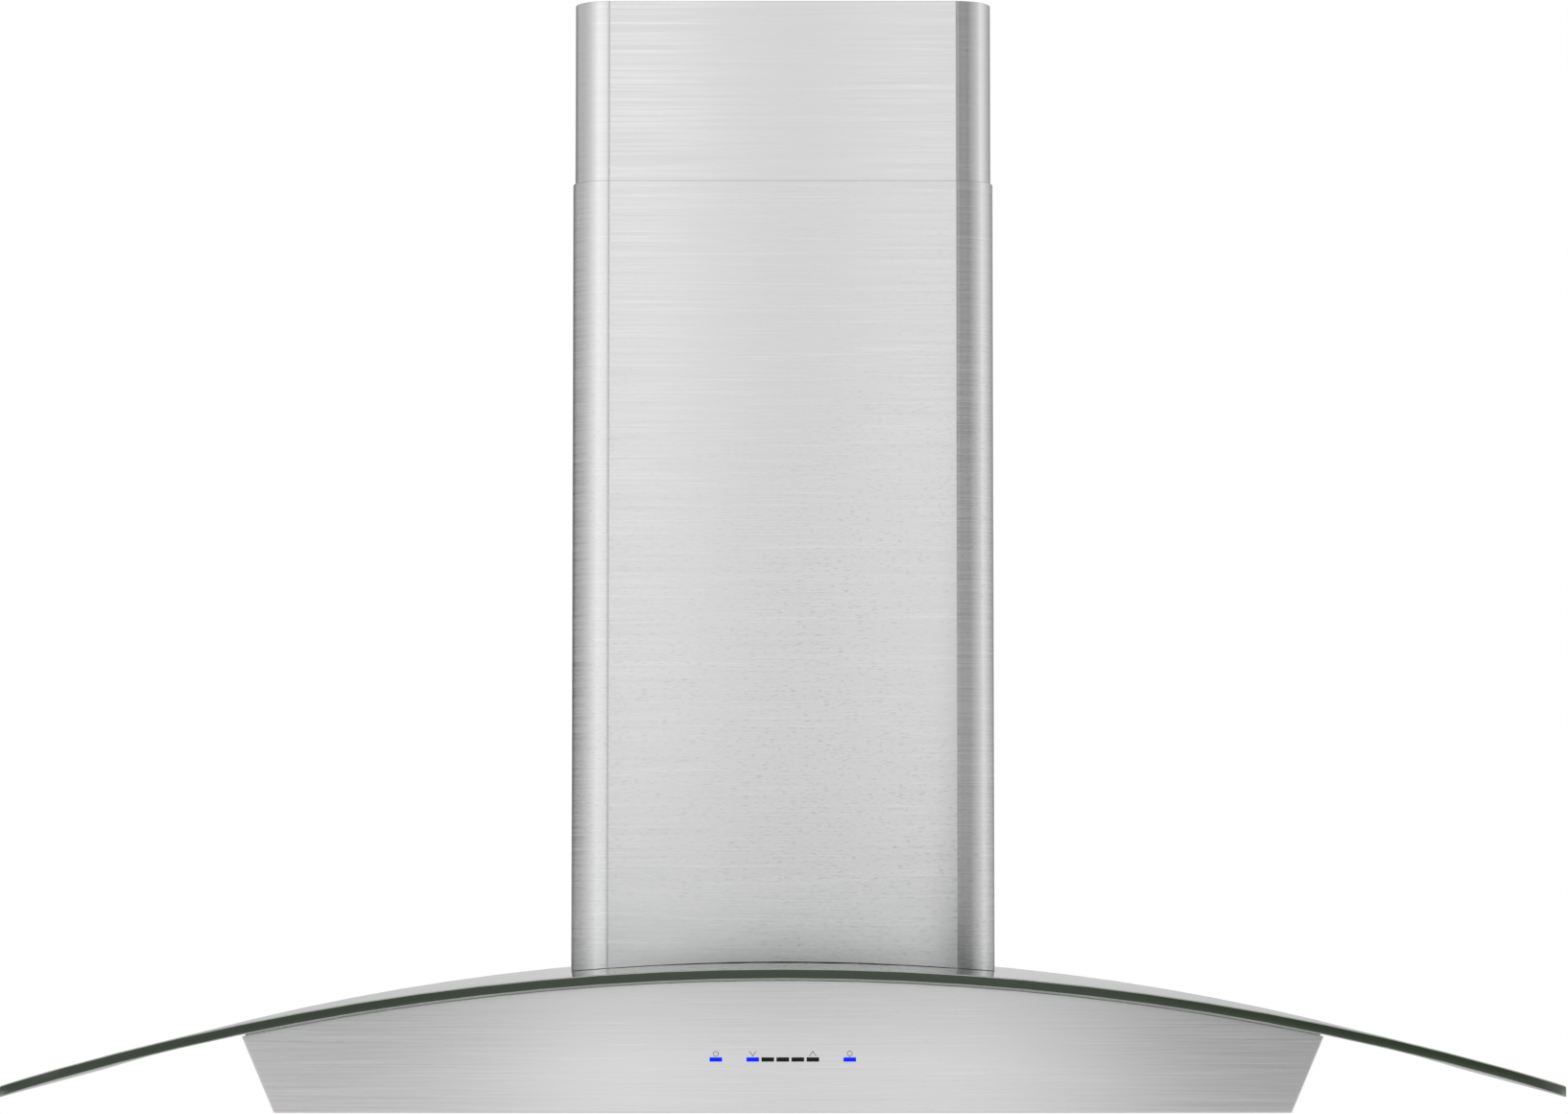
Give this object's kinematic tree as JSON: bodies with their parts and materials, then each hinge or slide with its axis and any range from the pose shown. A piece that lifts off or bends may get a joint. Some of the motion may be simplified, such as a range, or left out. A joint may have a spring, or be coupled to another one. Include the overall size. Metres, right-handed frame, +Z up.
{
  "type": "wall mount range hood",
  "caption": "Wall mount range hood with a shallow steel body under an arched glass canopy, a telescoping duct cover, a centrifugal blower, swing-down baffle filters and touch controls.",
  "frame": {"origin": "on the wall plane, at the middle of the body's lower back edge", "axes": "+X across the hood, to the right for someone facing it; +Y into the wall; +Z up"},
  "size_m": [0.9, 0.5, 0.68],
  "materials": {
    "brushed_stainless": "horizontally brushed stainless steel",
    "filter_stainless": "satin stainless steel",
    "galvanised_steel": "dull galvanised sheet",
    "screw_steel": "bright zinc plate",
    "shaft_steel": "ground steel",
    "spring_steel": "drawn spring wire",
    "canopy_glass": "clear tempered glass, faintly green",
    "clear_silicone": "translucent silicone gasket",
    "motor_paint": "semi-matt dark paint",
    "capacitor_can": "smooth white plastic",
    "black_plastic": "fine-grained moulding",
    "lamp_trim": "satin chrome trim",
    "frosted_lens": "frosted white",
    "lamp_aluminium": "plain die casting",
    "board_laminate": "green circuit board",
    "blue_light_bar": "blue light window",
    "dark_light_bar": "dark light window",
    "cable_sheath": "grey cable sheath"
  },
  "bodies": {
    "hood_body": {"hood_shell": "brushed_stainless", "top_panel": "brushed_stainless", "back_panel": "galvanised_steel", "bottom_panel": "brushed_stainless", "glass_canopy": "canopy_glass", "glass_seal": "clear_silicone", "glass_clamps": "galvanised_steel", "clamp_screws": "screw_steel", "lower_duct_cover": "brushed_stainless", "lower_cover_clips": "galvanised_steel", "clip_screws": "screw_steel", "blower_box": "galvanised_steel", "blower_box_cover": "galvanised_steel", "box_cover_screws": "screw_steel", "blower_screws": "screw_steel", "scroll_wrap": "galvanised_steel", "scroll_sides": "galvanised_steel", "inlet_rings": "galvanised_steel", "outlet_transition": "galvanised_steel", "motor": "motor_paint", "motor_bearings": "shaft_steel", "motor_bracket": "galvanised_steel", "motor_screws": "screw_steel", "capacitor": "capacitor_can", "outlet_collar": "galvanised_steel", "collar_screws": "screw_steel", "damper_pin": "shaft_steel", "lamp_bezels": "lamp_trim", "lamp_lenses": "frosted_lens", "lamp_bodies": "lamp_aluminium", "control_board": "board_laminate", "board_carrier": "black_plastic", "board_screws": "screw_steel", "lit_bars": "blue_light_bar", "unlit_bars": "dark_light_bar", "junction_box": "galvanised_steel", "junction_box_lid": "galvanised_steel", "junction_screws": "screw_steel", "terminal_block": "black_plastic", "wiring": "cable_sheath"},
    "upper_cover": {"upper_duct_cover": "brushed_stainless", "upper_cover_bracket": "galvanised_steel", "bracket_screws": "screw_steel"},
    "impeller": {"impeller": "galvanised_steel", "motor_shaft": "shaft_steel", "impeller_nut": "screw_steel"},
    "damper_left": {"damper_flap_left": "galvanised_steel"},
    "damper_right": {"damper_flap_right": "galvanised_steel"},
    "filter_left": {"filter_frame_left": "filter_stainless", "filter_baffles_left": "filter_stainless", "latch_springs_left": "spring_steel"},
    "filter_right": {"filter_frame_right": "filter_stainless", "filter_baffles_right": "filter_stainless", "latch_springs_right": "spring_steel"},
    "latch_left": {"filter_latch_left": "black_plastic"},
    "latch_right": {"filter_latch_right": "black_plastic"}
  },
  "joints": [
    {"name": "upper_cover_slide", "type": "slide", "parent": "hood_body", "child": "upper_cover", "axis": [0, 0, 1], "range_m": [-0.11, 0.16]},
    {"name": "impeller_spin", "type": "hinge", "parent": "hood_body", "child": "impeller", "pos_m": [0, -0.13, 0.185], "axis": [1, 0, 0], "continuous": true},
    {"name": "damper_left_hinge", "type": "hinge", "parent": "hood_body", "child": "damper_left", "pos_m": [0, -0.1, 0.3442], "axis": [0, 1, 0], "range_deg": [0, 75]},
    {"name": "damper_right_hinge", "type": "hinge", "parent": "hood_body", "child": "damper_right", "pos_m": [0, -0.1, 0.3442], "axis": [0, -1, 0], "range_deg": [0, 75]},
    {"name": "filter_left_hinge", "type": "hinge", "parent": "hood_body", "child": "filter_left", "pos_m": [-0.138, -0.033, 0.0023], "axis": [1, 0, 0], "range_deg": [0, 60]},
    {"name": "filter_right_hinge", "type": "hinge", "parent": "hood_body", "child": "filter_right", "pos_m": [0.138, -0.033, 0.0023], "axis": [1, 0, 0], "range_deg": [0, 60]},
    {"name": "latch_left_slide", "type": "slide", "parent": "filter_left", "child": "latch_left", "axis": [0, 1, 0], "range_m": [0, 0.006], "stiffness_N_per_m": 400, "springref_m": -0.004, "deforming": ["latch_springs_left"]},
    {"name": "latch_right_slide", "type": "slide", "parent": "filter_right", "child": "latch_right", "axis": [0, 1, 0], "range_m": [0, 0.006], "stiffness_N_per_m": 400, "springref_m": -0.004, "deforming": ["latch_springs_right"]}
  ]
}
